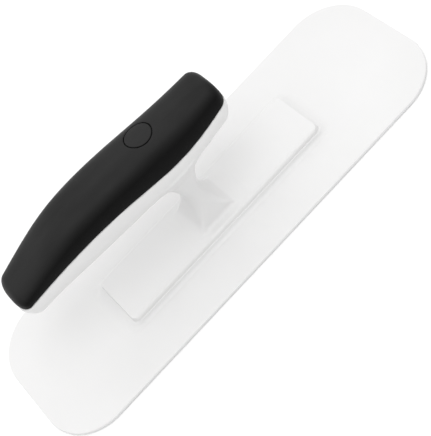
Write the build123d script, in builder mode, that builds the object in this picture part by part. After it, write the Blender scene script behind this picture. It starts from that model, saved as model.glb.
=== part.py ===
from build123d import *

import os
from math import cos, pi, sin, sqrt

# A finishing float: a blade with a raised pad, a handle frame on a waisted post, and a soft black grip.
# The origin is on the working face, under the middle of the blade. X runs along the blade, Z up, in mm.

os.makedirs("parts", exist_ok=True)

# Blade
BLADE_LENGTH = 280
BLADE_WIDTH = 100
BLADE_THICKNESS = 2
BLADE_CORNER = 30
EDGE_BREAK = 0.4

# Raised pad on the blade, with a hollow skirt that runs out wider at its ends
PAD_LENGTH = 143.4
PAD_WIDTH = 39.4
PAD_CORNER = 4.7
PAD_TOP = 4.5
PAD_EDGE = 0.6
SKIRT_ENDS = 7.5
SKIRT_SIDES = 4
SKIRT_LEVELS = (BLADE_THICKNESS, 2.15, 2.6, 3.3, PAD_TOP)

# Foot of the handle frame, set in a little from the pad's edge
FOOT_LENGTH = 142
FOOT_WIDTH = 38
FOOT_CORNER = 4
FOOT_TOP = 7
FOOT_ROUND = 2.2
KEY_X = 52
KEY_DIAMETER = 10
KEY_HEIGHT = 1.4
KEY_CLEARANCE = 0.15

# Post: an hourglass from the front and a waisted column from the side
POST_BASE = 15.8
POST_WAIST = 5.5
POST_WAIST_Z = 27.5
POST_SHOULDERS = (18, 22)
POST_SHOULDER_Z = 48.5
POST_DEPTH_BASE = 13
POST_DEPTH_WAIST = 9.8
POST_DEPTH_TOP = 14.2
POST_DEPTH_LEANS = ((-0.2, 1), (0.5, 1))
POST_TOP_Z = 52
POST_RIDGE = 1.1
RIDGE_LEAST_LENGTH = 15
POST_ROOT_Z = 5.5

# Grip sections along X: (x, half width, crown height, parting height, belly height)
GRIP_STATIONS = (
    (-103.5, 13.4, 71, 63.2, 50),
    (-82, 15.1, 77.8, 66.4, 50.5),
    (-60, 16.6, 82.8, 68.3, 49.2),
    (-38, 17.4, 83.6, 67.9, 48),
    (-18, 17.6, 82.2, 65.4, 47.3),
    (4, 17.1, 79.8, 62.3, 47.4),
    (24, 16, 78, 62.6, 48.6),
    (44.5, 14, 77.6, 65.3, 50),
)
CROWN_POWER = 2.8
BELLY_POWER = 2.6
SECTION_POINTS = 24

# Reach of the cutting block that stands above the parting line, clear of the grip on every side
BLOCK_ENDS = (-120, 60)
BLOCK_DROP = 3
BLOCK_RISE = 2
BLOCK_TOP = 110
BLOCK_SIDE = 30

# Ends of the grip and its shells
END_ROUND = 4.5
LEAST_ROUND = 1

# Shells of the grip, as distances in from its outer surface, with ribs and pegs (x, root height)
SKIN_THICKNESS = 2.5
CORE_THICKNESS = 2.5
RIM_WIDTH = 5.5
RIB_X = (-70, -42, 20)
RIB_THICKNESS = 1.8
PEGS = ((-84, 72.9), (32, 74.2))
PEG_DIAMETER = 5
PEG_DEPTH = 8
PEG_BOSS_DIAMETER = 9
PEG_TOP_Z = 60

# Middle column: bolt, washers, insert, bosses and plug
BOLT_DIAMETER = 4.9
THREAD_DIAMETER = 5
BOLT_CLEARANCE = 5.6
BOLT_LENGTH = 60
BOLT_HEAD_DIAMETER = 8.5
BOLT_HEAD_HEIGHT = 5
BOLT_SEAT_Z = 66
HEX_SOCKET = 4
HEX_SOCKET_DEPTH = 2.5
WASHER_DIAMETER = 10
WASHER_THICKNESS = 1
LOCK_WASHER_DIAMETER = 9.2
LOCK_WASHER_THICKNESS = 1.2
LOCK_WASHER_SPLIT = 0.8
LOCK_WASHER_SPLIT_ANGLE = 20
FLOOR_Z = BOLT_SEAT_Z - WASHER_THICKNESS - LOCK_WASHER_THICKNESS
INSERT_DIAMETER = 7
INSERT_BASE_Z = 4
INSERT_TOP_Z = 13.5
INSERT_FLOOR = 1
GROOVE_WIDTH = 1.5
GROOVE_DEPTH = 0.5
BLADE_BOSS_DIAMETER = 11
BLADE_BOSS_TOP = 14
BOSS_CLEARANCE = 0.2
CARRIER_BOSS_DIAMETER = 16
CARRIER_BOSS_TOP = 59
CORE_BOSS_DIAMETER = 18.5
CORE_BOSS_TOP = 75.6
CORE_BORE_DIAMETER = 11.4
PLUG_DIAMETER = 15.2
PLUG_GAP = 0.3
PLUG_BASE_Z = 76
PLUG_REACH = 10
PLUG_STEM_DIAMETER = 11.2
PLUG_STEM_WALL = 1.6
PLUG_STEM_BASE_Z = 72.4


def skirt_spread(height, width):
    """How far the hollow skirt stands out from the pad at a height above the blade's face."""
    rise = PAD_TOP - BLADE_THICKNESS
    radius = (width**2 + rise**2) / (2 * rise)
    above = height - BLADE_THICKNESS
    return width - sqrt(max(0, 2 * radius * above - above**2))


def section_point(station, inset, angle):
    """A point of the grip's closed section: superellipse quarters above and below the parting height."""
    x, half_width, crown, parting, belly = station
    above = sin(angle) >= 0
    power = CROWN_POWER if above else BELLY_POWER
    height = (crown - parting if above else parting - belly) - inset
    across = abs(cos(angle)) ** (2 / power) * (half_width - inset)
    up = abs(sin(angle)) ** (2 / power) * height
    return (across if cos(angle) >= 0 else -across, parting + (up if above else -up))


def grip_stations(inset):
    """The stations with both ends drawn in by the inset."""
    first, *middle, last = GRIP_STATIONS
    return [(first[0] + inset, *first[1:]), *middle, (last[0] - inset, *last[1:])]


def grip_form(inset):
    """The closed form of the whole grip, drawn in from its outer surface by the inset."""
    with BuildPart() as form:
        for station in grip_stations(inset):
            steps = [2 * pi * k / SECTION_POINTS - pi / 2 for k in range(SECTION_POINTS)]
            with BuildSketch(Plane.YZ.offset(station[0])):
                with BuildLine():
                    Spline([section_point(station, inset, a) for a in steps], periodic=True)
                make_face()
        loft()
        ends = form.faces().filter_by(GeomType.PLANE)
        fillet(ends.edges(), max(END_ROUND - inset, LEAST_ROUND))
    return form.part


def above_parting():
    """The block above the parting surface."""
    with BuildPart() as block:
        with BuildSketch(Plane.XZ):
            with BuildLine():
                line = Spline([(x, parting) for x, _, _, parting, _ in GRIP_STATIONS])
                start = (BLOCK_ENDS[0], (line @ 0).Y - BLOCK_DROP)
                finish = (BLOCK_ENDS[1], (line @ 1).Y + BLOCK_RISE)
                Line(start, line @ 0)
                Line(line @ 1, finish)
                Polyline(finish, (BLOCK_ENDS[1], BLOCK_TOP), (BLOCK_ENDS[0], BLOCK_TOP), start)
            make_face()
        extrude(amount=BLOCK_SIDE, both=True)
    return block.part


def is_ridge(edge):
    """Whether an edge of the post is one of the long ridges that run up its corners."""
    return edge.length > RIDGE_LEAST_LENGTH and abs(edge.tangent_at(0.5).Z) > 0.5


# Blade with its pad, central boss and two locating keys
with BuildPart() as blade:
    with BuildSketch():
        RectangleRounded(BLADE_LENGTH, BLADE_WIDTH, BLADE_CORNER)
    extrude(amount=BLADE_THICKNESS)
    chamfer(blade.faces().sort_by(Axis.Z)[0].edges(), EDGE_BREAK)
    fillet(blade.faces().sort_by(Axis.Z)[-1].edges(), EDGE_BREAK)
    for level in SKIRT_LEVELS:
        ends = skirt_spread(level, SKIRT_ENDS)
        sides = skirt_spread(level, SKIRT_SIDES)
        with BuildSketch(Plane.XY.offset(level)):
            RectangleRounded(PAD_LENGTH + 2 * ends, PAD_WIDTH + 2 * sides, PAD_CORNER + sides)
    loft()
    fillet(blade.faces().sort_by(Axis.Z)[-1].edges(), PAD_EDGE)
    with BuildSketch(Plane.XY.offset(PAD_TOP)):
        with Locations((-KEY_X, 0), (KEY_X, 0)):
            Circle(KEY_DIAMETER / 2)
    extrude(amount=KEY_HEIGHT)
    with BuildSketch(Plane.XY.offset(PAD_TOP)):
        Circle(BLADE_BOSS_DIAMETER / 2)
    extrude(amount=BLADE_BOSS_TOP - PAD_TOP)
    with BuildSketch(Plane.XY.offset(INSERT_BASE_Z)):
        Circle(INSERT_DIAMETER / 2)
    extrude(amount=BLADE_BOSS_TOP - INSERT_BASE_Z, mode=Mode.SUBTRACT)
blade.part.label = "blade"
export_step(blade.part, "parts/blade.step")

# Threaded insert moulded into the blade's boss, knurled in two bands
with BuildPart() as threaded_insert:
    with BuildSketch(Plane.XY.offset(INSERT_BASE_Z)):
        Circle(INSERT_DIAMETER / 2)
    extrude(amount=INSERT_TOP_Z - INSERT_BASE_Z)
    groove_z = (INSERT_BASE_Z + INSERT_TOP_Z) / 2
    with BuildSketch(Plane.XY.offset(groove_z - GROOVE_WIDTH / 2)):
        Circle(INSERT_DIAMETER / 2)
        Circle(INSERT_DIAMETER / 2 - GROOVE_DEPTH, mode=Mode.SUBTRACT)
    extrude(amount=GROOVE_WIDTH, mode=Mode.SUBTRACT)
    with BuildSketch(Plane.XY.offset(INSERT_BASE_Z + INSERT_FLOOR)):
        Circle(THREAD_DIAMETER / 2)
    extrude(amount=INSERT_TOP_Z - INSERT_BASE_Z, mode=Mode.SUBTRACT)
threaded_insert.part.label = "threaded_insert"
export_step(threaded_insert.part, "parts/threaded_insert.step")

# Outer forms shared by the grip's shells
outer_form = grip_form(0)
core_form = grip_form(SKIN_THICKNESS)
core_hollow = grip_form(SKIN_THICKNESS + CORE_THICKNESS)
trough_hollow = grip_form(RIM_WIDTH)
upper_block = above_parting()

# Lower half of the grip, before it is hollowed
with BuildPart() as lower_shell:
    add(outer_form)
    add(upper_block, mode=Mode.SUBTRACT)

# Post: the front outline run through the depth, kept only inside the side outline
with BuildPart() as post:
    with BuildSketch(Plane.XZ):
        with BuildLine():
            for side, shoulder in zip((-1, 1), POST_SHOULDERS):
                EllipticalCenterArc(
                    (side * POST_BASE, POST_WAIST_Z),
                    POST_BASE - POST_WAIST,
                    POST_WAIST_Z - FOOT_TOP,
                    start_angle=180 if side > 0 else 270,
                    arc_size=90,
                )
                EllipticalCenterArc(
                    (side * shoulder, POST_WAIST_Z),
                    shoulder - POST_WAIST,
                    POST_SHOULDER_Z - POST_WAIST_Z,
                    start_angle=90 if side > 0 else 0,
                    arc_size=90,
                )
                Line((side * shoulder, POST_SHOULDER_Z), (side * shoulder, POST_TOP_Z))
                Line((side * POST_BASE, FOOT_TOP), (side * POST_BASE, POST_ROOT_Z))
            Line((-POST_SHOULDERS[0], POST_TOP_Z), (POST_SHOULDERS[1], POST_TOP_Z))
            Line((-POST_BASE, POST_ROOT_Z), (POST_BASE, POST_ROOT_Z))
        make_face()
    extrude(amount=PAD_WIDTH / 2, both=True)
    with BuildSketch(Plane.YZ):
        with BuildLine():
            Spline(
                (POST_DEPTH_BASE, FOOT_TOP),
                (POST_DEPTH_WAIST, POST_WAIST_Z),
                (POST_DEPTH_TOP, POST_TOP_Z),
                tangents=POST_DEPTH_LEANS,
            )
            Polyline((POST_DEPTH_BASE, FOOT_TOP), (POST_DEPTH_BASE, POST_ROOT_Z), (0, POST_ROOT_Z))
            Line((POST_DEPTH_TOP, POST_TOP_Z), (0, POST_TOP_Z))
            mirror(about=Plane.YZ)
        make_face()
    extrude(amount=max(POST_SHOULDERS), both=True, mode=Mode.INTERSECT)
    ridges = post.edges().filter_by(is_ridge)
    fillet(ridges, POST_RIDGE)

# Handle frame: foot, post and the lower shell of the grip in one hollow moulding
with BuildPart() as carrier:
    with BuildSketch(Plane.XY.offset(PAD_TOP)):
        RectangleRounded(FOOT_LENGTH, FOOT_WIDTH, FOOT_CORNER)
    extrude(amount=FOOT_TOP - PAD_TOP)
    fillet(carrier.faces().sort_by(Axis.Z)[-1].edges(), FOOT_ROUND)
    add(post)
    add(lower_shell)
    add(trough_hollow, mode=Mode.SUBTRACT)
    with BuildSketch(Plane.XY.offset(POST_TOP_Z)):
        Circle(CARRIER_BOSS_DIAMETER / 2)
    extrude(amount=CARRIER_BOSS_TOP - POST_TOP_Z)
    with BuildSketch(Plane.XY.offset(POST_TOP_Z)):
        with Locations([(x, 0) for x, _ in PEGS]):
            Circle(PEG_BOSS_DIAMETER / 2)
    extrude(amount=PEG_TOP_Z - POST_TOP_Z)
    with BuildSketch(Plane.XY.offset(PEG_TOP_Z)):
        with Locations([(x, 0) for x, _ in PEGS]):
            Circle(PEG_DIAMETER / 2 + BOSS_CLEARANCE)
    extrude(amount=-PEG_DEPTH - BOSS_CLEARANCE, mode=Mode.SUBTRACT)
    with BuildSketch(Plane.XY.offset(PAD_TOP)):
        Circle(BLADE_BOSS_DIAMETER / 2 + BOSS_CLEARANCE)
    extrude(amount=BLADE_BOSS_TOP + BOSS_CLEARANCE - PAD_TOP, mode=Mode.SUBTRACT)
    with BuildSketch(Plane.XY.offset(PAD_TOP)):
        Circle(BOLT_CLEARANCE / 2)
    extrude(amount=CARRIER_BOSS_TOP - PAD_TOP, mode=Mode.SUBTRACT)
    with BuildSketch(Plane.XY.offset(PAD_TOP)):
        with Locations((-KEY_X, 0), (KEY_X, 0)):
            Circle(KEY_DIAMETER / 2 + KEY_CLEARANCE)
    extrude(amount=KEY_HEIGHT + KEY_CLEARANCE, mode=Mode.SUBTRACT)
carrier.part.label = "carrier"
export_step(carrier.part, "parts/carrier.step")

# Hollow of the grip's core, broken up by the ribs that stay standing in it
with BuildPart() as ribbed_hollow:
    add(core_hollow)
    for x in RIB_X:
        with BuildSketch(Plane.YZ.offset(x)):
            with Locations((0, CARRIER_BOSS_TOP)):
                Rectangle(BLADE_WIDTH, BLADE_WIDTH)
        extrude(amount=RIB_THICKNESS, mode=Mode.SUBTRACT)

# Rigid core of the grip: a ribbed shell with the bolt's boss and two locating pegs
with BuildPart() as grip_core:
    add(core_form)
    add(upper_block, mode=Mode.INTERSECT)
    add(ribbed_hollow, mode=Mode.SUBTRACT)
    with BuildSketch(Plane.XY.offset(CARRIER_BOSS_TOP)):
        Circle(CORE_BOSS_DIAMETER / 2)
    extrude(amount=CORE_BOSS_TOP - CARRIER_BOSS_TOP)
    for x, root_z in PEGS:
        with BuildSketch(Plane.XY.offset(PEG_TOP_Z)):
            with Locations((x, 0)):
                Circle(PEG_BOSS_DIAMETER / 2)
        extrude(amount=root_z - PEG_TOP_Z)
    with BuildSketch(Plane.XY.offset(PEG_TOP_Z)):
        with Locations([(x, 0) for x, _ in PEGS]):
            Circle(PEG_DIAMETER / 2)
    extrude(amount=-PEG_DEPTH)
    with BuildSketch(Plane.XY.offset(CARRIER_BOSS_TOP)):
        Circle(BOLT_CLEARANCE / 2)
    extrude(amount=PLUG_BASE_Z - CARRIER_BOSS_TOP, mode=Mode.SUBTRACT)
    with BuildSketch(Plane.XY.offset(FLOOR_Z)):
        Circle(CORE_BORE_DIAMETER / 2)
    extrude(amount=PLUG_BASE_Z - FLOOR_Z, mode=Mode.SUBTRACT)
    with BuildSketch(Plane.XY.offset(PLUG_BASE_Z)):
        Circle(PLUG_DIAMETER / 2 + PLUG_GAP)
    extrude(amount=PLUG_REACH, mode=Mode.SUBTRACT)
grip_core.part.label = "grip_core"
export_step(grip_core.part, "parts/grip_core.step")

# Soft skin moulded over the core
with BuildPart() as grip_skin:
    add(outer_form)
    add(upper_block, mode=Mode.INTERSECT)
    add(core_form, mode=Mode.SUBTRACT)
    with BuildSketch(Plane.XY.offset(PLUG_BASE_Z)):
        Circle(PLUG_DIAMETER / 2 + PLUG_GAP)
    extrude(amount=PLUG_REACH, mode=Mode.SUBTRACT)
grip_skin.part.label = "grip_skin"
export_step(grip_skin.part, "parts/grip_skin.step")

# Plug that closes the bolt's bore, its face flush with the skin
with BuildPart() as screw_plug:
    with BuildSketch(Plane.XY.offset(PLUG_BASE_Z)):
        Circle(PLUG_DIAMETER / 2)
    extrude(amount=PLUG_REACH)
    add(outer_form, mode=Mode.INTERSECT)
    with BuildSketch(Plane.XY.offset(PLUG_STEM_BASE_Z)):
        Circle(PLUG_STEM_DIAMETER / 2)
        Circle(PLUG_STEM_DIAMETER / 2 - PLUG_STEM_WALL, mode=Mode.SUBTRACT)
    extrude(amount=PLUG_BASE_Z - PLUG_STEM_BASE_Z)
screw_plug.part.label = "screw_plug"
export_step(screw_plug.part, "parts/screw_plug.step")

# Socket-head bolt that draws grip, frame and blade together
with BuildPart() as tie_bolt:
    with BuildSketch(Plane.XY.offset(BOLT_SEAT_Z)):
        Circle(BOLT_HEAD_DIAMETER / 2)
    extrude(amount=BOLT_HEAD_HEIGHT)
    fillet(tie_bolt.edges().sort_by(Axis.Z)[-1], EDGE_BREAK)
    with BuildSketch(Plane.XY.offset(BOLT_SEAT_Z + BOLT_HEAD_HEIGHT)):
        RegularPolygon(HEX_SOCKET / 2, 6, major_radius=False)
    extrude(amount=-HEX_SOCKET_DEPTH, mode=Mode.SUBTRACT)
    with BuildSketch(Plane.XY.offset(BOLT_SEAT_Z)):
        Circle(BOLT_DIAMETER / 2)
    extrude(amount=-BOLT_LENGTH)
    chamfer(tie_bolt.edges().sort_by(Axis.Z)[0], EDGE_BREAK)
tie_bolt.part.label = "tie_bolt"
export_step(tie_bolt.part, "parts/tie_bolt.step")

# Flat washer on the core's floor
with BuildPart() as flat_washer:
    with BuildSketch(Plane.XY.offset(FLOOR_Z)):
        Circle(WASHER_DIAMETER / 2)
        Circle(BOLT_CLEARANCE / 2, mode=Mode.SUBTRACT)
    extrude(amount=WASHER_THICKNESS)
flat_washer.part.label = "flat_washer"
export_step(flat_washer.part, "parts/flat_washer.step")

# Split lock washer under the bolt's head
with BuildPart() as lock_washer:
    with BuildSketch(Plane.XY.offset(FLOOR_Z + WASHER_THICKNESS)):
        Circle(LOCK_WASHER_DIAMETER / 2)
        Circle(BOLT_CLEARANCE / 2, mode=Mode.SUBTRACT)
        with Locations((LOCK_WASHER_DIAMETER / 2, 0)):
            Rectangle(
                LOCK_WASHER_DIAMETER,
                LOCK_WASHER_SPLIT,
                rotation=LOCK_WASHER_SPLIT_ANGLE,
                mode=Mode.SUBTRACT,
            )
    extrude(amount=LOCK_WASHER_THICKNESS)
lock_washer.part.label = "lock_washer"
export_step(lock_washer.part, "parts/lock_washer.step")
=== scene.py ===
"""Looks of the finishing float: white satin blade and handle frame, matte black soft grip, pale floor.

Shapes are written in millimetres, in the frame's axes, and become metres where their meshes are made.
"""

import math

import bmesh
import bpy
import numpy as np
from mathutils import Matrix, Vector


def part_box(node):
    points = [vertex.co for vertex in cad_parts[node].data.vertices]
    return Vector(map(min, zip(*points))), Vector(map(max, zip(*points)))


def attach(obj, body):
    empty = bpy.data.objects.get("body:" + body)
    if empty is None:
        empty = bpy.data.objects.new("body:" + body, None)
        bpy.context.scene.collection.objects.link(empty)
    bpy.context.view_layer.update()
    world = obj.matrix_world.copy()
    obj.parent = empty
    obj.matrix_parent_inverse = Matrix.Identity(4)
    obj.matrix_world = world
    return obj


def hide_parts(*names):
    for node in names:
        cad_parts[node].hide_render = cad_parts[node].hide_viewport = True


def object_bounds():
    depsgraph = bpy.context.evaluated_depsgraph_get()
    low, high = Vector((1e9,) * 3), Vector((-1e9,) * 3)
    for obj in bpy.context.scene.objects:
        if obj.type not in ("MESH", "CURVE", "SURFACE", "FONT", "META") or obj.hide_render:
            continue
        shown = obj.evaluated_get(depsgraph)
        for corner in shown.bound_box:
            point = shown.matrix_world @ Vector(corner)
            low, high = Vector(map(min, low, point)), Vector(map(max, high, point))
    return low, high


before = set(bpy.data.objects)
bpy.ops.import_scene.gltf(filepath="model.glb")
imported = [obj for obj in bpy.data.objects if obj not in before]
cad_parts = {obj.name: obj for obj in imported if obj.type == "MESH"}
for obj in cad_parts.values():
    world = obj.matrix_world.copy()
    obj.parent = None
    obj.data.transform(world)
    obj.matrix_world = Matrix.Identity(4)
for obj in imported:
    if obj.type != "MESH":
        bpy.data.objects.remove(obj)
cad_low, cad_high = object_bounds()
MM = 0.001


def box_mm(node):
    """Lowest and highest corner of a CAD node, in millimetres."""
    low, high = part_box(node)
    return np.array(low) / MM, np.array(high) / MM


# Camera: the point it looks at, where it stands, its roll and its lens
CAMERA_TARGET = (-1.4, -4.6, 0)
CAMERA_AZIMUTH = math.radians(-3.05)
CAMERA_ELEVATION = math.radians(48.36)
CAMERA_ROLL = math.radians(44.43)
CAMERA_DISTANCE = 705
CAMERA_THROW = 5.97248  # distance to a thing over half the height of the view there
CLIP_NEAR, CLIP_FAR = 0.01, 20  # metres


def make_camera():
    """A camera tilted so that the blade runs from lower left to upper right."""
    data = bpy.data.cameras.new("camera")
    camera = bpy.data.objects.new("camera", data)
    bpy.context.scene.collection.objects.link(camera)
    bpy.context.scene.camera = camera
    data.angle = 2 * math.atan(1 / CAMERA_THROW)
    a, e = CAMERA_AZIMUTH, CAMERA_ELEVATION
    back = Vector((math.sin(a) * math.cos(e), -math.cos(a) * math.cos(e), math.sin(e)))
    level = Vector((math.cos(a), math.sin(a), 0))
    turn = Matrix((level, back.cross(level), back)).transposed().to_4x4()
    place = Matrix.Translation((Vector(CAMERA_TARGET) + back * CAMERA_DISTANCE) * MM)
    camera.matrix_world = place @ turn @ Matrix.Rotation(-CAMERA_ROLL, 4, "Z")
    data.clip_start, data.clip_end = CLIP_NEAR, CLIP_FAR


make_camera()

# Driving sizes read from the frame
BLADE_LOW, BLADE_HIGH = box_mm("blade")
BLADE_LENGTH, BLADE_WIDTH = BLADE_HIGH[0] - BLADE_LOW[0], BLADE_HIGH[1] - BLADE_LOW[1]
PAD_TOP = box_mm("carrier")[0][2]
GRIP_START, GRIP_END = box_mm("grip_skin")[0][0], box_mm("grip_skin")[1][0]

# Blade
BLADE_THICKNESS = 2
BLADE_CORNER = 30
EDGE_BREAK = 0.4
PAD_LENGTH, PAD_WIDTH, PAD_CORNER = 144.4, 40.4, 5.2
SKIRT_ENDS, SKIRT_SIDES, SKIRT_LEVELS = 7, 3.2, 15
PAD_EDGE = 0.4

# Foot and post of the handle frame
FOOT_LENGTH, FOOT_WIDTH, FOOT_CORNER = 142, 38, 4
FOOT_TOP = 7
FOOT_ROUND, FOOT_END_ROUND, FOOT_DRAFT = 1.6, 0.4, 0.22
FOOT_OVERRUN = 1.5  # below the pad's top, where cut_foot trims it
POST_BASE, POST_WAIST, POST_WAIST_Z = 18.5, 5.5, 27.5
POST_SHOULDERS = (18, 22)
POST_TOP_Z = 52.5
POST_SINK, POST_FOOT_SINK, POST_OUTSTEP = 0.5, 1.5, 0.5
POST_FOOT_BLEND, POST_GRIP_BLEND = 2.2, 4
POST_DEPTHS = ((4, 13.5), (FOOT_TOP, 13), (17, 10.9), (POST_WAIST_Z, 9.8), (40, 11), (52, 14.2), (58, 17))
RIDGE_ROUNDS = ((4, 1), (9, 1.2), (14, 3), (20, 5), (POST_WAIST_Z, 5.4), (60, 7))

# Grip sections along X: (x, half width, crown height, parting height, belly height)
GRIP_STATIONS = (
    (-103.5, 13.4, 71, 63.2, 50),
    (-82, 15.1, 77.8, 66.4, 50.5),
    (-60, 16.6, 82.8, 68.3, 49.2),
    (-38, 17.4, 83.6, 67.9, 48),
    (-18, 17.6, 82.2, 65.4, 47.3),
    (4, 17.1, 79.8, 62.3, 47.4),
    (24, 16, 78, 62.6, 48.6),
    (44.5, 14, 77.6, 65.3, 50),
)
CROWN_POWER, BELLY_POWER = 2.8, 2.6
END_ROUND, BELLY_END_ROUND, END_BLEND = 5.5, 8.5, 6
SKIN_THICKNESS = 2.5
RIM_WIDTH = 5.5
LIP_ROUND, LIP_STEP, LIP_FADE = 0.5, 0.3, 1.2

# Bosses, pegs, keys and plug
CARRIER_BOSS_RADIUS, CARRIER_BOSS_BASE, CARRIER_BOSS_TOP = 8, 50, 59
PEGS_X, PEG_BOSS_RADIUS, PEG_HOLE_RADIUS = (-84, 32), 4.5, 2.7
PEG_BOSS_BASE, PEG_TOP_Z, PEG_DEPTH, PEG_OVERRUN = 53, 60, 8.2, 5
BOSS_BLEND = 1
BOLT_HOLE_RADIUS = 2.8
BLADE_BOSS_RADIUS, BLADE_BOSS_TOP, BOSS_CLEARANCE = 5.5, 14, 0.2
INSERT_RADIUS, INSERT_BASE_Z = 3.5, 4
KEY_X, KEY_RADIUS, KEY_HEIGHT, KEY_SINK = 52, 5, 1.4, 0.5
PLUG_RADIUS, PLUG_GAP, PLUG_BASE_Z = 7.6, 0.3, 76

# Outlines: points round a corner, along a side, round a key and over a broken edge
CORNER_STEPS, SIDE_STEPS, KEY_SIDES, EDGE_STEPS = 24, 12, 64, 6
SHARP_ANGLE = math.radians(35)

# Grid steps at which no edge of these meshes is shared by more than two faces
CARRIER_STEP = 0.52
SKIN_STEP = 0.55
PLUG_STEP = 0.3

# Grids: room left round a form, and reach below and above the parting or the plug's base
END_ROOM, SIDE_ROOM, PLUG_ROOM = 2, 1.5, 1
CARRIER_BELOW, CARRIER_ABOVE = 66, 1.5
SKIN_HALF_WIDTH, SKIN_BELOW, SKIN_ABOVE = 20, 1.65, 20
PLUG_ABOVE = 7

# Surface finding: probe distance, rounds, and the least slope and reach that are divided by
PROBE, ROUNDS, LEAST_SLOPE = 0.01, 4, 0.05
LEAST_REACH, TINY = 0.01, 1e-6
BELLY_LIMIT = 0.98  # share of the half width up to which the belly's height is followed


def curve_through(stations):
    """A natural cubic curve through given (place, value) stations, straight beyond its ends."""
    at, value = np.array(stations, float).T
    gap = np.diff(at)
    slope = np.diff(value) / gap
    rows = np.eye(len(at))
    for k in range(1, len(at) - 1):
        rows[k, k - 1 : k + 2] = gap[k - 1], 2 * (gap[k - 1] + gap[k]), gap[k]
    bend = np.linalg.solve(rows, np.r_[0, 6 * np.diff(slope), 0])

    def curve(x):
        inside = np.clip(x, at[0], at[-1])
        k = np.clip(np.searchsorted(at, inside, side="right") - 1, 0, len(gap) - 1)
        left, right, width = inside - at[k], at[k + 1] - inside, gap[k]
        return (
            (bend[k] * right**3 + bend[k + 1] * left**3) / (6 * width)
            + (value[k] / width - bend[k] * width / 6) * right
            + (value[k + 1] / width - bend[k + 1] * width / 6) * left
        )

    return curve


half_width, crown, parting, belly = (
    curve_through([(station[0], station[k]) for station in GRIP_STATIONS]) for k in (1, 2, 3, 4)
)
post_depth = curve_through(POST_DEPTHS)
ridge_round = curve_through(RIDGE_ROUNDS)


def both(a, b, round_off):
    """Where two forms overlap, with the edge between them rounded off. Negative inside."""
    over = np.hypot(np.maximum(a + round_off, 0), np.maximum(b + round_off, 0))
    return np.minimum(np.maximum(a, b), -round_off) + over


def either(a, b, round_in):
    """Two forms joined, with a hollow fillet where they meet. Negative inside."""
    return -both(-a, -b, round_in)


def grip_form(x, y, z):
    """The grip's whole form: superellipse halves above and below the parting, with rounded ends."""
    width, middle = half_width(x), parting(x)
    above = z > middle
    height = np.where(above, crown(x) - middle, middle - belly(x))
    power = np.where(above, CROWN_POWER, BELLY_POWER)
    reach = ((np.abs(y) / width) ** power + (np.abs(z - middle) / height) ** power) ** (1 / power)
    ends = np.maximum(GRIP_START - x, x - GRIP_END)
    below = np.clip((middle - z) / END_BLEND, 0, 1)
    round_off = END_ROUND + (BELLY_END_ROUND - END_ROUND) * below
    return both((reach - 1) * np.minimum(width, height), ends + 0 * reach, round_off)


def underside(x, y):
    """Height of the grip's belly at a place beside its middle plane."""
    width, middle = half_width(x), parting(x)
    across = np.minimum(np.abs(y) / width, BELLY_LIMIT)
    return middle - (middle - belly(x)) * (1 - across**BELLY_POWER) ** (1 / BELLY_POWER)


def hollow_flank(across, along, reach, rise):
    """Depth into an elliptical hollow cut beside the post. Positive in the hollow."""
    far = np.hypot(across / reach, along / rise) + TINY
    steep = np.hypot(across / reach**2, along / rise**2) / far
    return (1 - far) / steep


def post_form(x, y, z):
    """The waisted post: elliptical hollows left and right, hollow faces front and back, ridges between."""
    low = z < POST_WAIST_Z
    left, right = POST_SHOULDERS
    shoulder = np.where(x < 0, left, right)
    centre = np.where(low, POST_BASE, shoulder)
    flare = underside(np.where(x < 0, -left, right), y) + POST_SINK - POST_WAIST_Z
    rise = np.where(low, POST_WAIST_Z - FOOT_TOP + POST_FOOT_SINK, flare)
    across = np.maximum(centre - np.abs(x), LEAST_REACH)
    flank = hollow_flank(across, np.abs(z - POST_WAIST_Z), centre - POST_WAIST, rise)
    flank = np.maximum(flank, np.abs(x) - centre - POST_OUTSTEP)
    face = np.abs(y) - post_depth(z)
    return np.maximum(both(flank, face, ridge_round(z)), np.maximum(z - POST_TOP_Z, PAD_TOP - z))


def foot_form(x, y, z):
    """The flat foot: drafted walls, rounded corners, and a top edge rounder at its sides than its ends."""
    draft = FOOT_DRAFT * (FOOT_TOP - np.maximum(z, PAD_TOP))
    over_x = np.abs(x) - FOOT_LENGTH / 2 - draft
    over_y = np.abs(y) - FOOT_WIDTH / 2 - draft
    plan = both(over_x, over_y, FOOT_CORNER)
    sides = both(over_y, z - FOOT_TOP, FOOT_ROUND)
    ends = both(over_x, z - FOOT_TOP, FOOT_END_ROUND)
    return np.maximum(np.maximum(plan, np.maximum(sides, ends)), PAD_TOP - FOOT_OVERRUN - z)


def round_bar(x, y, z, radius, bottom, top, middle_x=0):
    """A round upright bar."""
    return np.maximum(np.hypot(x - middle_x, y) - radius, np.maximum(z - top, bottom - z))


def carrier_form(x, y, z):
    """Foot, post and lower grip shell in one, hollow above, with its bosses and the holes down them."""
    form = grip_form(x, y, z)
    stand = either(foot_form(x, y, z), post_form(x, y, z), POST_FOOT_BLEND)
    solid = np.maximum(either(stand, form, POST_GRIP_BLEND), -(form + RIM_WIDTH))
    boss = round_bar(x, y, z, CARRIER_BOSS_RADIUS, CARRIER_BOSS_BASE, CARRIER_BOSS_TOP)
    solid = either(solid, boss, BOSS_BLEND)
    for peg_x in PEGS_X:
        boss = round_bar(x, y, z, PEG_BOSS_RADIUS, PEG_BOSS_BASE, PEG_TOP_Z, peg_x)
        hole = round_bar(x, y, z, PEG_HOLE_RADIUS, PEG_TOP_Z - PEG_DEPTH, PEG_TOP_Z + PEG_OVERRUN, peg_x)
        solid = np.maximum(either(solid, boss, BOSS_BLEND), -hole)
    solid = np.maximum(solid, BOLT_HOLE_RADIUS - np.hypot(x, y))
    socket = round_bar(x, y, z, BLADE_BOSS_RADIUS + BOSS_CLEARANCE, 0, BLADE_BOSS_TOP + BOSS_CLEARANCE)
    return np.maximum(np.maximum(solid, -socket), z - parting(x))


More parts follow.
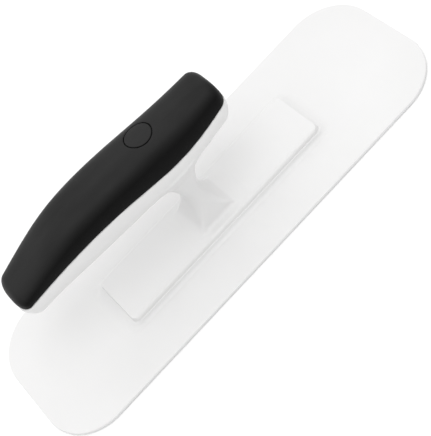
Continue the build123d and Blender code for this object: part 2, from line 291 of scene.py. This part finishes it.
def skin_form(x, y, z):
    """The soft skin above the parting, rounded at its lip and round the plug's hole."""
    form = grip_form(x, y, z)
    step = LIP_STEP * np.exp(-np.maximum(z - parting(x), 0) / LIP_FADE)
    shell = np.maximum(form + step, -(form + SKIN_THICKNESS))
    hole = PLUG_RADIUS + PLUG_GAP - np.hypot(x, y)
    return both(both(shell, parting(x) - z, LIP_ROUND), hole, LIP_ROUND)


def plug_form(x, y, z):
    """The plug's cap, its top face carrying on the crown of the grip."""
    side = np.hypot(x, y) - PLUG_RADIUS
    return np.maximum(both(grip_form(x, y, z) + 0 * side, side, LIP_ROUND), PLUG_BASE_Z - z)


def onto_surface(form, points, step):
    """Points moved along the form's slope until they lie on its surface."""
    for _ in range(ROUNDS):
        x, y, z = points.T
        value = form(x, y, z)
        slope = np.stack(
            [
                form(x + PROBE, y, z) - form(x - PROBE, y, z),
                form(x, y + PROBE, z) - form(x, y - PROBE, z),
                form(x, y, z + PROBE) - form(x, y, z - PROBE),
            ],
            1,
        ) / (2 * PROBE)
        move = slope * (value / np.maximum((slope**2).sum(1), LEAST_SLOPE))[:, None]
        points = points - np.clip(move, -step / 2, step / 2)
    return points


def skin_over(form, low, high, step, rise=None):
    """Vertices and quads over the zero surface of a form, one vertex to each grid cell that it crosses.

    The grid's layers follow rise(x), so that an edge along that curve comes out clean.
    """
    axes = [np.arange(a, b + step, step) for a, b in zip(low, high)]
    gx, gy, gz = np.meshgrid(*axes, indexing="ij", sparse=True)
    lift = rise(gx) if rise else 0 * gx
    value = form(gx, gy, gz + lift)
    inside = value < 0
    corners = [(i, j, k) for i in (0, 1) for j in (0, 1) for k in (0, 1)]
    cells = tuple(n - 1 for n in value.shape)
    window = [tuple(slice(c, c + n) for c, n in zip(corner, cells)) for corner in corners]
    count = sum(inside[w].astype(np.int8) for w in window)
    active = np.argwhere((count > 0) & (count < 8))
    number = np.full(cells, -1)
    number[tuple(active.T)] = np.arange(len(active))
    total, hits = np.zeros((len(active), 3)), np.zeros(len(active))
    held = [value[tuple((active + corner).T)] for corner in corners]
    for a, first in enumerate(corners):
        for b, second in enumerate(corners):
            if b > a and sum(abs(np.subtract(first, second))) == 1:
                crossed = (held[a] < 0) != (held[b] < 0)
                part = np.where(crossed, held[a] / np.where(crossed, held[a] - held[b], 1), 0)
                place = np.array(first) + part[:, None] * np.subtract(second, first)
                total += place * crossed[:, None]
                hits += crossed
    grid = active + total / hits[:, None]
    points = np.array(low) + grid * step
    points[:, 2] += rise(points[:, 0]) if rise else 0
    quads = []
    for axis in range(3):
        across, along = [a for a in range(3) if a != axis]
        start, end = [slice(None)] * 3, [slice(None)] * 3
        start[axis], end[axis] = slice(None, -1), slice(1, None)
        here, there = inside[tuple(start)], inside[tuple(end)]
        edges = np.argwhere(here != there)
        edges = edges[(edges[:, across] > 0) & (edges[:, along] > 0)]
        edges = edges[(edges[:, across] < cells[across]) & (edges[:, along] < cells[along])]
        outward = here[tuple(edges.T)] == (axis != 1)
        ring = []
        for i, j in ((1, 1), (0, 1), (0, 0), (1, 0)):
            cell = edges.copy()
            cell[:, across] -= i
            cell[:, along] -= j
            ring.append(number[tuple(cell.T)])
        ring = np.stack(ring, 1)
        ring[~outward] = ring[~outward][:, ::-1]
        quads.append(ring)
    return onto_surface(form, points, step), np.concatenate(quads)


def make_piece(name, points, faces):
    """A smooth mesh from points in millimetres, crisp where faces meet at more than the sharp angle."""
    mesh = bpy.data.meshes.new(name)
    mesh.from_pydata((np.asarray(points) * MM).tolist(), [], [list(map(int, f)) for f in faces])
    mesh.validate()
    mesh.shade_smooth()
    mesh.set_sharp_from_angle(angle=SHARP_ANGLE)
    piece = bpy.data.objects.new(name, mesh)
    bpy.context.scene.collection.objects.link(piece)
    return piece


def rounded_ring(length, width, corner, z):
    """Points once round a rectangle with rounded corners, evenly spread along its sides and corners."""
    ring = []
    centres = [(1, 1), (-1, 1), (-1, -1), (1, -1)]
    for k, (sx, sy) in enumerate(centres):
        cx, cy = sx * (length / 2 - corner), sy * (width / 2 - corner)
        for step in range(CORNER_STEPS + 1):
            angle = math.radians(90 * (k + step / CORNER_STEPS))
            ring.append((cx + corner * math.cos(angle), cy + corner * math.sin(angle), z))
        nx, ny = centres[(k + 1) % 4]
        turn = math.radians(90 * (k + 1))
        from_x, from_y, _ = ring[-1]
        to_x = nx * (length / 2 - corner) + corner * math.cos(turn)
        to_y = ny * (width / 2 - corner) + corner * math.sin(turn)
        for step in range(1, SIDE_STEPS):
            part = step / SIDE_STEPS
            ring.append((from_x + (to_x - from_x) * part, from_y + (to_y - from_y) * part, z))
    return ring


def skin_rings(rings):
    """Points and quads through a stack of equal rings, closed at both ends."""
    count = len(rings[0])
    points = [p for ring in rings for p in ring]
    faces = [tuple(reversed(range(count)))]
    for k in range(len(rings) - 1):
        for i in range(count):
            j = (i + 1) % count
            faces.append((k * count + i, k * count + j, (k + 1) * count + j, (k + 1) * count + i))
    faces.append(tuple(range((len(rings) - 1) * count, len(rings) * count)))
    return points, faces


def quarter(radius):
    """Offsets (in, up) round a quarter circle from vertical to flat."""
    turns = [math.pi / 2 * k / EDGE_STEPS for k in range(EDGE_STEPS + 1)]
    return [(radius * (1 - math.cos(t)), radius * math.sin(t)) for t in turns]


def blade_ring(inward, z):
    """The blade's outline, moved inward."""
    return rounded_ring(BLADE_LENGTH - 2 * inward, BLADE_WIDTH - 2 * inward, BLADE_CORNER - inward, z)


def skirt_left(spread, rise, above):
    """How far a hollow skirt of a given spread and rise still stands out at a height above the blade."""
    radius = (spread**2 + rise**2) / (2 * rise)
    return spread - math.sqrt(2 * radius * above - above**2)


def make_blade():
    """The blade: broken edges, a flat face, and the pad rising from it over a hollow skirt."""
    rings = [blade_ring(inward, EDGE_BREAK - up) for inward, up in reversed(quarter(EDGE_BREAK))]
    rings += [blade_ring(inward, BLADE_THICKNESS - EDGE_BREAK + up) for inward, up in quarter(EDGE_BREAK)]
    rise = PAD_TOP - BLADE_THICKNESS
    for part in np.linspace(0, 1, SKIRT_LEVELS):
        z = BLADE_THICKNESS + (rise - PAD_EDGE) * part**2
        ends, sides = (skirt_left(spread, rise, z - BLADE_THICKNESS) for spread in (SKIRT_ENDS, SKIRT_SIDES))
        rings.append(rounded_ring(PAD_LENGTH + 2 * ends, PAD_WIDTH + 2 * sides, PAD_CORNER + sides, z))
    for inward, up in quarter(PAD_EDGE)[1:]:
        size = PAD_LENGTH - 2 * inward, PAD_WIDTH - 2 * inward
        rings.append(rounded_ring(*size, PAD_CORNER, PAD_TOP - PAD_EDGE + up))
    turns = [math.atan2(y, x) for x, y, _ in rings[-1]]
    boss = ((BLADE_BOSS_RADIUS, PAD_TOP), (BLADE_BOSS_RADIUS, BLADE_BOSS_TOP))
    for radius, z in (*boss, (INSERT_RADIUS, BLADE_BOSS_TOP), (INSERT_RADIUS, INSERT_BASE_Z)):
        rings.append([(radius * math.cos(t), radius * math.sin(t), z) for t in turns])
    points, faces = skin_rings(rings)
    key_turns = [2 * math.pi * k / KEY_SIDES for k in range(KEY_SIDES)]
    for key_x in (-KEY_X, KEY_X):
        start = len(points)
        outline = [(key_x + KEY_RADIUS * math.cos(t), KEY_RADIUS * math.sin(t)) for t in key_turns]
        heights = (PAD_TOP - KEY_SINK, PAD_TOP + KEY_HEIGHT)
        key_points, key_faces = skin_rings([[(x, y, z) for x, y in outline] for z in heights])
        points += key_points
        faces += [tuple(start + i for i in face) for face in key_faces]
    return make_piece("blade_moulding", points, faces)


def cut_foot(mesh):
    """Cuts the foot flat where it stands on the pad, and closes the cut."""
    work = bmesh.new()
    work.from_mesh(mesh)
    everything = work.verts[:] + work.edges[:] + work.faces[:]
    seat = Vector((0, 0, PAD_TOP * MM))
    bmesh.ops.bisect_plane(work, geom=everything, plane_co=seat, plane_no=(0, 0, 1), clear_inner=True)
    rim = [edge for edge in work.edges if edge.is_boundary]
    bmesh.ops.triangle_fill(work, edges=rim, use_beauty=True, normal=(0, 0, -1))
    bmesh.ops.recalc_face_normals(work, faces=work.faces[:])
    work.to_mesh(mesh)
    work.free()
    mesh.shade_smooth()
    mesh.set_sharp_from_angle(angle=SHARP_ANGLE)


def make_carrier():
    """The handle frame, cut flat where it stands on the pad."""
    low = (GRIP_START - END_ROOM, -FOOT_WIDTH / 2 - SIDE_ROOM, -CARRIER_BELOW)
    high = (FOOT_LENGTH / 2 + END_ROOM, FOOT_WIDTH / 2 + SIDE_ROOM, CARRIER_ABOVE)
    piece = make_piece("handle_frame", *skin_over(carrier_form, low, high, CARRIER_STEP, rise=parting))
    cut_foot(piece.data)
    return piece


def make_grip_skin():
    """The soft upper grip."""
    low = (GRIP_START - END_ROOM, -SKIN_HALF_WIDTH, -SKIN_BELOW)
    high = (GRIP_END + END_ROOM, SKIN_HALF_WIDTH, SKIN_ABOVE)
    points, faces = skin_over(skin_form, low, high, SKIN_STEP, rise=parting)
    return make_piece("soft_grip", points, faces)


def make_plug():
    """The round plug on the crown."""
    low = (-PLUG_RADIUS - PLUG_ROOM, -PLUG_RADIUS - PLUG_ROOM, PLUG_BASE_Z - PLUG_ROOM)
    high = (PLUG_RADIUS + PLUG_ROOM, PLUG_RADIUS + PLUG_ROOM, PLUG_BASE_Z + PLUG_ABOVE)
    points, faces = skin_over(plug_form, low, high, PLUG_STEP)
    return make_piece("plug_cap", points, faces)


# Looks: base tones, dark and light, and roughness, low and high. They were matched by brightness
# to the photo under the lights below, and are not measured materials.
WHITE_TONES, WHITE_ROUGH, WHITE_IOR = (0.71, 0.735), (0.36, 0.5), 1.49
PAPER_TONES, PAPER_ROUGH = (0.89, 0.91), 0.9
# Black tones at the sides, and painted top light: faces that look up are painted 5 to 8 times lighter,
# standing in for light from above
SIDE_SHARES, TOP_LIGHT_SHARES = (0.6, 1.6), (5, 8)  # times a black's base tone
TOP_LIGHT_FROM, TOP_LIGHT_FULL = 0.35, 0.95  # how far up a face looks, 1 being straight up
BLACK_SPECULAR, BLACK_SHEEN, SHEEN_ROUGH = 0.07, 0.02, 0.4
ZINC, ZINC_ROUGH = (0.62, 0.63, 0.64), 0.28
BRASS, BRASS_ROUGH = (0.72, 0.56, 0.28), 0.3
MARK_SHADE, MARK_ROUGH = 0.85, 0.15

# Colour sockets of a Mix node, whose socket names are shared between its types
MIX_A, MIX_B, MIX_RESULT = 6, 7, 2


def new_material(name):
    """A node material and its shader."""
    material = bpy.data.materials.new(name)
    material.use_nodes = True
    return material, material.node_tree, material.node_tree.nodes["Principled BSDF"]


def noise(tree, scale, detail=3.0, rough=0.5, stretch=None):
    """A noise pattern fixed to the object."""
    place = tree.nodes.new("ShaderNodeTexCoord")
    pattern = tree.nodes.new("ShaderNodeTexNoise")
    pattern.inputs["Scale"].default_value = scale
    pattern.inputs["Detail"].default_value = detail
    pattern.inputs["Roughness"].default_value = rough
    if stretch:
        mapping = tree.nodes.new("ShaderNodeMapping")
        mapping.inputs["Scale"].default_value = stretch
        tree.links.new(place.outputs["Object"], mapping.inputs["Vector"])
        tree.links.new(mapping.outputs["Vector"], pattern.inputs["Vector"])
    else:
        tree.links.new(place.outputs["Object"], pattern.inputs["Vector"])
    return pattern


def ramp(tree, source, stops):
    """Colours or greys picked by a pattern's value."""
    node = tree.nodes.new("ShaderNodeValToRGB")
    tree.links.new(source, node.inputs["Fac"])
    first, last = node.color_ramp.elements
    (first.position, first.color), (last.position, last.color) = stops
    return node


def bump(tree, layers):
    """Bumps stacked in order: (height, strength, distance in metres)."""
    above = None
    for height, strength, distance in layers:
        node = tree.nodes.new("ShaderNodeBump")
        node.inputs["Strength"].default_value = strength
        node.inputs["Distance"].default_value = distance
        tree.links.new(height, node.inputs["Height"])
        if above:
            tree.links.new(above.outputs["Normal"], node.inputs["Normal"])
        above = node
    return above


def grey(value, warm=0.0):
    """A near-neutral colour."""
    return (value, value * (1 - warm / 2), value * (1 - warm), 1)


def white_moulding():
    """Satin white plastic: fine moulded grain and faint flow variation."""
    material, tree, shader = new_material("moulding_white")
    cloud = noise(tree, 14, detail=4)
    dark, light = WHITE_TONES
    tint = ramp(tree, cloud.outputs["Fac"], [(0.3, grey(dark, 0.006)), (0.7, grey(light, 0.004))])
    tree.links.new(tint.outputs["Color"], shader.inputs["Base Color"])
    wipe = noise(tree, 60, detail=5)
    sleek, rough = WHITE_ROUGH
    dull = ramp(tree, wipe.outputs["Fac"], [(0.3, grey(sleek)), (0.75, grey(rough))])
    tree.links.new(dull.outputs["Color"], shader.inputs["Roughness"])
    grain = noise(tree, 2600, detail=2)
    wave = noise(tree, 45, detail=1)
    lumps = bump(tree, [(grain.outputs["Fac"], 0.12, 0.00005), (wave.outputs["Fac"], 0.1, 0.0004)])
    tree.links.new(lumps.outputs["Normal"], shader.inputs["Normal"])
    shader.inputs["IOR"].default_value = WHITE_IOR
    return material


def soft_black(name, value, rough):
    """Soft-touch black: fine grain, painted top light on faces that look up, and a faint sheen at its edges.
    """
    material, tree, shader = new_material(name)
    cloud = noise(tree, 45, detail=6, rough=0.6, stretch=(0.4, 1, 1))
    side_tone, lit_top_tone = (
        ramp(tree, cloud.outputs["Fac"], [(0.3, grey(value * low)), (0.75, grey(value * high))])
        for low, high in (SIDE_SHARES, TOP_LIGHT_SHARES)
    )
    # Painted top light: faces that look up get a lighter base tone
    facing = tree.nodes.new("ShaderNodeNewGeometry")
    split = tree.nodes.new("ShaderNodeSeparateXYZ")
    tree.links.new(facing.outputs["Normal"], split.inputs["Vector"])
    painted_top_light = ramp(tree, split.outputs["Z"], [(TOP_LIGHT_FROM, grey(0)), (TOP_LIGHT_FULL, grey(1))])
    top_light_mix = tree.nodes.new("ShaderNodeMix")
    top_light_mix.data_type = "RGBA"
    tree.links.new(painted_top_light.outputs["Color"], top_light_mix.inputs["Factor"])
    tree.links.new(side_tone.outputs["Color"], top_light_mix.inputs[MIX_A])
    tree.links.new(lit_top_tone.outputs["Color"], top_light_mix.inputs[MIX_B])
    tree.links.new(top_light_mix.outputs[MIX_RESULT], shader.inputs["Base Color"])
    wipe = noise(tree, 90, detail=5)
    dull = ramp(tree, wipe.outputs["Fac"], [(0.3, grey(rough - 0.05)), (0.7, grey(rough + 0.07))])
    tree.links.new(dull.outputs["Color"], shader.inputs["Roughness"])
    grain = noise(tree, 1900, detail=3)
    lumps = bump(tree, [(grain.outputs["Fac"], 0.3, 0.00008)])
    tree.links.new(lumps.outputs["Normal"], shader.inputs["Normal"])
    shader.inputs["Specular IOR Level"].default_value = BLACK_SPECULAR
    shader.inputs["Sheen Weight"].default_value = BLACK_SHEEN
    shader.inputs["Sheen Roughness"].default_value = SHEEN_ROUGH
    return material


def plated_metal(name, colour, rough):
    """Plated or turned metal with fine turning marks."""
    material, tree, shader = new_material(name)
    marks = noise(tree, 240, detail=4, stretch=(1, 1, 12))
    shade = [channel * MARK_SHADE for channel in colour]
    tone = ramp(tree, marks.outputs["Fac"], [(0.3, (*shade, 1)), (0.7, (*colour, 1))])
    tree.links.new(tone.outputs["Color"], shader.inputs["Base Color"])
    dull = ramp(tree, marks.outputs["Fac"], [(0.3, grey(rough)), (0.7, grey(rough + MARK_ROUGH))])
    tree.links.new(dull.outputs["Color"], shader.inputs["Roughness"])
    lumps = bump(tree, [(marks.outputs["Fac"], 0.15, 0.00005)])
    tree.links.new(lumps.outputs["Normal"], shader.inputs["Normal"])
    shader.inputs["Metallic"].default_value = 1
    return material


def finish_piece(piece, material, slot, *nodes):
    """Gives a piece its material, lets it stand for CAD nodes, and rides it on the body. The slot is not
    used.
    """
    piece.data.materials.clear()
    piece.data.materials.append(material)
    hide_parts(*nodes)
    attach(piece, "root")


def floor_material():
    """Pale matte studio paper."""
    material, tree, shader = new_material("studio_paper")
    fibre = noise(tree, 300, detail=4)
    dark, light = PAPER_TONES
    tint = ramp(tree, fibre.outputs["Fac"], [(0.3, grey(dark)), (0.7, grey(light))])
    tree.links.new(tint.outputs["Color"], shader.inputs["Base Color"])
    shader.inputs["Roughness"].default_value = PAPER_ROUGH
    return material


# Floor and lights, in metres and watts. The surround has a strength at the horizon and overhead, which is
# multiplied by a share in front and behind.
FLOOR_REACH, FLOOR_GAP = 6, 0.0002
LIGHT_AIM = (0, 0, 0.03)
KEY_PLACE, KEY_SIZE, KEY_POWER = (0.05, -0.5, 1.4), (0.8, 0.8), 4.2
SURROUND_LEVEL, SURROUND_TOP = 0.72, 1.38
SURROUND_FRONT, SURROUND_BACK = 0.76, 1.16


def make_stage():
    """The pale floor."""
    mesh = bpy.data.meshes.new("floor")
    corners = [(x * FLOOR_REACH, y * FLOOR_REACH, 0) for x, y in ((-1, -1), (1, -1), (1, 1), (-1, 1))]
    mesh.from_pydata(corners, [], [(0, 1, 2, 3)])
    mesh.materials.append(floor_material())
    floor = bpy.data.objects.new("floor", mesh)
    bpy.context.scene.collection.objects.link(floor)
    floor.location.z = cad_low[2] - FLOOR_GAP


def area_light(name, place, size, power):
    """A soft box aimed at the middle of the object."""
    data = bpy.data.lights.new(name, "AREA")
    data.shape = "RECTANGLE"
    data.size, data.size_y = size
    data.energy = power
    lamp = bpy.data.objects.new(name, data)
    lamp.location = place
    lamp.rotation_euler = (Vector(LIGHT_AIM) - Vector(place)).to_track_quat("-Z", "Y").to_euler()
    bpy.context.scene.collection.objects.link(lamp)


def make_light():
    """High-key studio light: a surround brighter overhead and behind, and a soft box high in front."""
    world = bpy.data.worlds.new("surround")
    world.use_nodes = True
    tree = world.node_tree
    place = tree.nodes.new("ShaderNodeTexCoord")
    split = tree.nodes.new("ShaderNodeSeparateXYZ")
    level = tree.nodes.new("ShaderNodeMapRange")
    level.inputs["To Min"].default_value = SURROUND_LEVEL
    level.inputs["To Max"].default_value = SURROUND_TOP
    tree.links.new(place.outputs["Generated"], split.inputs["Vector"])
    tree.links.new(split.outputs["Z"], level.inputs["Value"])
    depth = tree.nodes.new("ShaderNodeMapRange")
    depth.inputs["From Min"].default_value = -1
    depth.inputs["To Min"].default_value = SURROUND_FRONT
    depth.inputs["To Max"].default_value = SURROUND_BACK
    tree.links.new(split.outputs["Y"], depth.inputs["Value"])
    strength = tree.nodes.new("ShaderNodeMath")
    strength.operation = "MULTIPLY"
    tree.links.new(level.outputs["Result"], strength.inputs[0])
    tree.links.new(depth.outputs["Result"], strength.inputs[1])
    tree.links.new(strength.outputs["Value"], tree.nodes["Background"].inputs["Strength"])
    tree.nodes["Background"].inputs["Color"].default_value = (1, 1, 1, 1)
    bpy.context.scene.world = world
    area_light("key_box", KEY_PLACE, KEY_SIZE, KEY_POWER)


white = white_moulding()
finish_piece(make_blade(), white, "moulding_white", "blade")
finish_piece(make_carrier(), white, "moulding_white", "carrier")
finish_piece(make_grip_skin(), soft_black("grip_black", 0.003, 0.42), "grip_black", "grip_skin")
finish_piece(make_plug(), soft_black("plug_black", 0.0033, 0.4), "core_black", "screw_plug")

CARRIED = {
    "grip_core": soft_black("core_black", 0.008, 0.55),
    "tie_bolt": plated_metal("zinc_steel", ZINC, ZINC_ROUGH),
    "threaded_insert": plated_metal("insert_brass", BRASS, BRASS_ROUGH),
}
CARRIED["flat_washer"] = CARRIED["lock_washer"] = CARRIED["tie_bolt"]
for node, material in CARRIED.items():
    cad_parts[node].data.materials.clear()
    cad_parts[node].data.materials.append(material)

make_stage()
make_light()
bpy.context.scene.view_settings.view_transform = "Standard"
